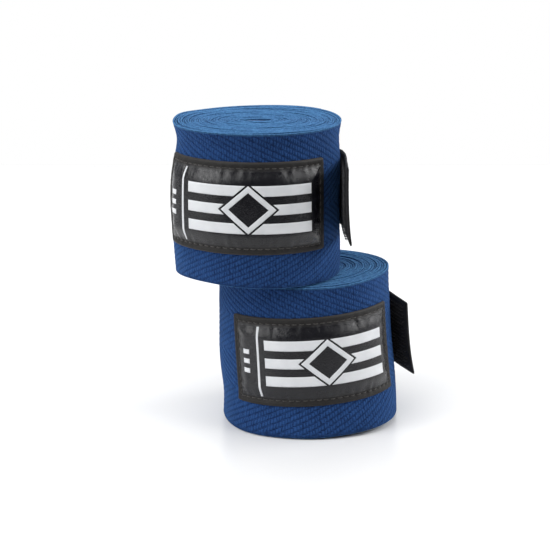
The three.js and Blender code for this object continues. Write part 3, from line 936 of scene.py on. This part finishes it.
class TapeRoute:
    """The hook tape's middle seen from above: from its sewn end to its free end."""

    STEP = 0.25 * MM

    def __init__(self, roll):
        self.roll = roll
        sewn = ANCHOR_LENGTH + GAP
        angles = roll.end_angle + np.linspace(roll.arc(sewn), 2, 5)
        lift = GAP + TAPE_THICKNESS / 2
        points = list(zip(*roll.flat_point(angles, roll.outer_radius(angles) + lift)))
        lift = GAP + HOOK_SPACE + GAP + TAPE_THICKNESS / 2
        angles = np.arange(roll.end_angle - 2, roll.places["peel_angle"], -6)
        points += zip(*roll.flat_point(angles, roll.outer_radius(angles + 360) + lift))
        points += [(x * MM, y * MM) for x, y in roll.places["tab_points"]]
        line = smooth_line(np.array(points), self.STEP)
        self.root = sewn
        self.length = min(sewn + TAB_LENGTH, (len(line) - 1) * self.STEP)
        self.line = line
        self.tangent = unit(np.gradient(line, axis=0))
        self.distance = np.arange(len(line)) * self.STEP

    def at(self, along, up, offset):
        """A point on the tape, up from its lower edge, and offset out from its middle."""
        along, up, offset = np.broadcast_arrays(along, up, offset)
        free = np.clip((along - self.root) / TAB_LENGTH, 0, 1)
        splay = self.roll.places["tab_twist"] * (1 - up / TAPE_WIDTH) ** 3
        offset = offset + splay * free**2
        known = (*self.line.T, *self.tangent.T)
        x, y, run_x, run_y = (np.interp(along, self.distance, values) for values in known)
        height = self.roll.places["tab_bottom"] + up - self.roll.places["tab_droop"] * free
        return self.roll.placed(np.stack([x - run_y * offset, y + run_x * offset, height], -1))


def make_hook_tape(roll, tape_finish, hook_finish, thread):
    route = TapeRoute(roll)
    rows = np.linspace(0, TAPE_WIDTH, round(TAPE_WIDTH / TAPE_CELL) + 1)[:, None]
    columns = np.linspace(0, route.length, round(route.length / TAPE_CELL) + 1)
    along, up = np.broadcast_arrays(columns, rows)
    to_end = np.minimum(up, TAPE_WIDTH - up)
    half = TAPE_THICKNESS / 2 * (0.55 + 0.45 * smooth(to_end / (0.5 * MM)))
    front = route.at(along, up, half)
    back = route.at(along, up, -half)
    name = roll.node("tape")
    tape = make_piece(name, shell(front, back), tape_finish, both_faces(along, up))
    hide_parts(roll.node("hook_tab"), roll.node("tab_anchor"))

    random = np.random.default_rng(11)
    first = route.root + HOOK_MARGIN + 0.3 * MM
    steps = np.arange(first, route.length - HOOK_MARGIN, HOOK_STEP)
    levels = np.arange(HOOK_MARGIN, TAPE_WIDTH - HOOK_MARGIN, HOOK_ROW)
    foot, level = (values.reshape(-1, 1) for values in np.meshgrid(steps, levels))
    facing = np.where(np.round(level / HOOK_ROW) % 2 == 0, 1, -1)
    foot = foot + facing * 0.2 * HOOK_STEP + random.uniform(-0.08, 0.08, foot.shape) * MM
    level = level + random.uniform(-0.06, 0.06, foot.shape) * MM
    rise = HOOK_RISE * random.uniform(0.92, 1.04, foot.shape)
    paths = route.at(foot + facing * HOOK_ALONG, level, -TAPE_THICKNESS / 2 - rise)
    across = np.broadcast_to(np.array(roll.turn.col[2]), (len(paths), 3))
    shape = threads(paths, across, HOOK_RADIUS)
    hooks = make_piece(roll.node("tape_hooks"), shape, hook_finish)
    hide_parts(roll.node("hook_field"))

    fold_start = Vector(route.at(route.root - 0.5 * MM, TAPE_WIDTH / 2, 0))
    fold_end = Vector(route.at(route.root + 4 * MM, TAPE_WIDTH / 2, 0))
    for piece in (tape, hooks):
        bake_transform(piece)

    def place(along, up, lift):
        return route.at(along, up, TAPE_THICKNESS / 2 + lift)

    sewn = (ANCHOR_LENGTH, TAPE_WIDTH)
    seam = make_seam(roll, "tape_stitches", "tab_seam", sewn, place, thread, TAB_SEAM_INSET)
    strip_name = roll.node("cotton_strip")


# ---- The thumb loop ----

LOOP_RAISED = 1.3 * MM  # how much further than the CAD's the folded loop stands up
LOOP_TURN = math.radians(-8)  # and how it is turned in the hollow, seen from above


def make_thumb_loop(roll, material, thread):
    """A tape folded into a tall, flat loop, with a bar tack across its foot."""

    def turned(points):
        return roll.placed(points @ np.array(Matrix.Rotation(LOOP_TURN, 3, "Z")).T)

    bend = (LOOP_DEPTH - LOOP_TAPE_THICKNESS) / 2
    low = LOOP_BOTTOM + LOOP_DEPTH / 2
    high = LOOP_TOP + LOOP_RAISED - LOOP_DEPTH / 2
    side = np.linspace(0, 1, 40)[1:-1]
    turn = np.linspace(0, math.pi, 9)
    height = np.concatenate([
        low - bend * np.sin(turn), low + (high - low) * side,
        high + bend * np.sin(turn), high - (high - low) * side,
    ])
    depth = np.concatenate([
        -bend * np.cos(turn), np.full(len(side), bend),
        bend * np.cos(turn), np.full(len(side), -bend),
    ])
    middle = np.stack([depth, height], 1)
    run = unit(np.roll(middle, -1, 0) - np.roll(middle, 1, 0))
    out = np.stack([run[:, 1], -run[:, 0]], 1)
    section = np.radians(np.arange(0, 360, 30))
    across = LOOP_TAPE_WIDTH / 2 * np.sign(np.cos(section)) * np.abs(np.cos(section)) ** 0.35
    thick = LOOP_TAPE_THICKNESS / 2 * np.sign(np.sin(section)) * np.abs(np.sin(section)) ** 0.5
    yz = middle[:, None, :] + out[:, None, :] * thick[None, :, None]
    x = np.broadcast_to(across, yz.shape[:2])
    points = turned(np.stack([x, yz[..., 0], yz[..., 1]], -1))
    length = np.cumsum(np.linalg.norm(np.diff(middle, axis=0, append=middle[:1]), axis=1))
    uv = np.stack(np.broadcast_arrays(length[:, None], x), -1).reshape(-1, 2)
    faces = grid_faces(*points.shape[:2], wrap_rows=True, wrap_columns=True)
    shape = (points.reshape(-1, 3), faces)
    roll_piece(roll, "thumb_loop_tape", shape, material, "thumb_loop", uv)

    number = np.arange(TACK_STITCHES)[:, None]
    share = np.linspace(0, 1, 5)
    x = (number + share) / TACK_STITCHES * TACK_WIDTH - TACK_WIDTH / 2
    swing = np.where(number % 2, 1, -1) * (share - 0.5)
    z = LOOP_BOTTOM + TACK_RISE + TACK_HEIGHT * swing
    y = LOOP_DEPTH / 2 + THREAD_RADIUS * np.sin(math.pi * share)
    paths = turned(np.stack(np.broadcast_arrays(x, y, z), -1))
    forward = turned(np.array([0, 1, 0])) - turned(np.zeros(3))
    shape = threads(paths, across_threads(paths, forward), THREAD_RADIUS)
    roll_piece(roll, "thumb_loop_stitches", shape, thread, "thumb_loop_tack")


# ---- The studio ----

CAMERA_FROM_LOWER_ROLL = Vector((-0.0125, -0.5802, 0.1960))
CAMERA_PITCH = math.radians(14.32)
CAMERA_LENS = 115.5
LIGHT_DISTANCE = 1.0
LIGHT_AIM = Vector((0, 0, 0.05))
FILL = 0.13  # the world's strength as a light, from most sides ...
FILL_BEHIND = 1.1  # ... and from behind the object


def make_camera(lower):
    data = bpy.data.cameras.new("camera")
    data.lens = CAMERA_LENS
    camera = add_object("camera", data)
    camera.location = lower.origin + CAMERA_FROM_LOWER_ROLL
    camera.rotation_euler = (math.pi / 2 - CAMERA_PITCH, 0, 0)
    bpy.context.scene.camera = camera


def make_floor():
    corners = np.array([(-0.45, -0.16, 0), (0.45, -0.16, 0), (0.45, 0.45, 0), (-0.45, 0.45, 0)])
    floor = make_piece("floor", (corners, [[0, 1, 2, 3]]), floor_material())


def soft_light(name, angle, elevation, watts, size):
    """A square softbox that faces the object, placed by its angle from the front."""
    data = bpy.data.lights.new(name, "AREA")
    data.shape = "SQUARE"
    data.size = size
    data.energy = watts
    light = add_object(name, data)
    turn, rise = math.radians(angle), math.radians(elevation)
    level = Vector((math.sin(turn), -math.cos(turn), 0)) * math.cos(rise)
    away = (level + Vector((0, 0, math.sin(rise)))) * LIGHT_DISTANCE
    light.location = LIGHT_AIM + away
    light.rotation_euler = away.to_track_quat("Z", "Y").to_euler()


def make_world():
    """White where the camera looks past the object. As a light it is dim, and white behind it."""
    world = bpy.data.worlds.new("studio")
    bpy.context.scene.world = world
    world.use_nodes = True
    tree = world.node_tree
    tree.nodes.clear()
    direction = add_node(tree, "TexCoord", {}, output="Generated")
    depth = add_node(tree, "SeparateXYZ", {0: direction}, output="Y")
    rise = {"Value": depth, 1: 0.3, 2: 0.9, 3: FILL, 4: FILL_BEHIND}
    strength = add_node(tree, "MapRange", rise)
    light = add_node(tree, "Background", {"Color": (0.95, 0.97, 1, 1), "Strength": strength})
    seen = add_node(tree, "Background", {"Color": (1, 1, 1, 1)})
    to_camera = add_node(tree, "LightPath", {}, output="Is Camera Ray")
    surface = add_node(tree, "MixShader", {0: to_camera, 1: light, 2: seen})
    output = tree.nodes.new("ShaderNodeOutputWorld")
    tree.links.new(surface, output.inputs["Surface"])


def make_studio():
    make_floor()
    make_world()
    soft_light("key", -60, 62, 10.0, size=1.1)
    soft_light("left", -66, 22, 5.4, size=0.5)
    soft_light("right", 70, 30, 4.8, size=0.5)
    soft_light("right_behind", 108, 24, 5.5, size=0.5)
    bpy.context.scene.view_settings.view_transform = "Standard"


# ---- Assembly ----


def make_roll(roll, materials):
    strip = make_strip(roll, materials["cotton"])
    label = make_label(roll, materials["leather"])
    patch = (LABEL_LENGTH, LABEL_HEIGHT)
    place = partial(on_label, roll)
    thread = materials["label_thread"]
    seam = make_seam(roll, "label_stitches", "label_seam", patch, place, thread)
    make_prints(roll, materials["print"])
    make_pile(roll, materials["pile"], materials["thread"])
    make_hook_tape(roll, materials["tape"], materials["hooks"], materials["thread"])
    make_thumb_loop(roll, materials["loop_tape"], materials["thread"])


def make_materials():
    return {
        "cotton": cotton_material(),
        "loop_tape": loop_tape_material(),
        "leather": leatherette_material(),
        "print": print_material(),
        "label_thread": thread_material(
            "brown_black_thread", (0.010, 0.009, 0.008, 1), (0.060, 0.054, 0.050, 1)
        ),
        "thread": thread_material(
            "black_thread", (0.006, 0.006, 0.006, 1), (0.040, 0.038, 0.040, 1)
        ),
        "tape": hook_tape_material(),
        "hooks": hook_material(),
        "pile": pile_material(),
    }


# Swells are an angle, its width, a height, its span and an amount; rims and hems, an angle, its
# width and an amount: all in degrees and millimetres.
upper_roll = Roll(
    "upper",
    radius=27.7 * MM,
    end_angle=131,
    label_start=284.3,
    label_bottom=11.4 * MM,
    tab_bottom=13.2 * MM,
    tab_twist=1.3 * MM,
    tab_droop=-1.1 * MM,
    peel_angle=131,
    tab_points=[(25.2, 14.5), (27.4, 10.3), (28.4, 4), (28.5, -12), (28.4, -28), (28.4, -31)],
    flare=0.75 * MM,
    swells=[
        (288, 27, 26, 17, 2.3), (270, 60, 8, 8, 0.4), (0, 400, 44.8, 4.0, -0.5),
        (275, 50, 43, 7, -0.75), (90, 50, 46, 7, -0.25), (90, 35, 8, 8, 0.5),
    ],
    rims=[(140, 42, 0.95), (252, 20, 0.8)],
    hems=[(318, 36, 1.0)],
)
lower_roll = Roll(
    "lower",
    radius=29.3 * MM,
    end_angle=167,
    lean=math.radians(3.3),
    top_level=upper_roll.origin.z - GAP,
    label_start=305.9,
    label_bottom=10.9 * MM,
    tab_bottom=14.6 * MM,
    tab_twist=1.6 * MM,
    tab_droop=2.2 * MM,
    peel_angle=112,
    tab_points=[(31.1, 2.6), (34.2, -6)],
    flare=0.4 * MM,
    swells=[
        (270, 34, 22, 16, 1.45), (90, 45, 10, 14, 1.4), (0, 100, 0, 8, 3.2),
        (318, 24, 0, 8, 2.1), (45, 22, 0, 9, 1.1), (88, 20, 0, 8, -1.4), (278, 20, 6, 9, -0.6),
        (270, 40, 50, 5, -0.6),
    ],
    rims=[(130, 40, -0.9)],
    hems=[(5, 75, 0.5)],
)

make_camera(lower_roll)
make_studio()
looks = make_materials()
make_roll(lower_roll, looks)
make_roll(upper_roll, looks)
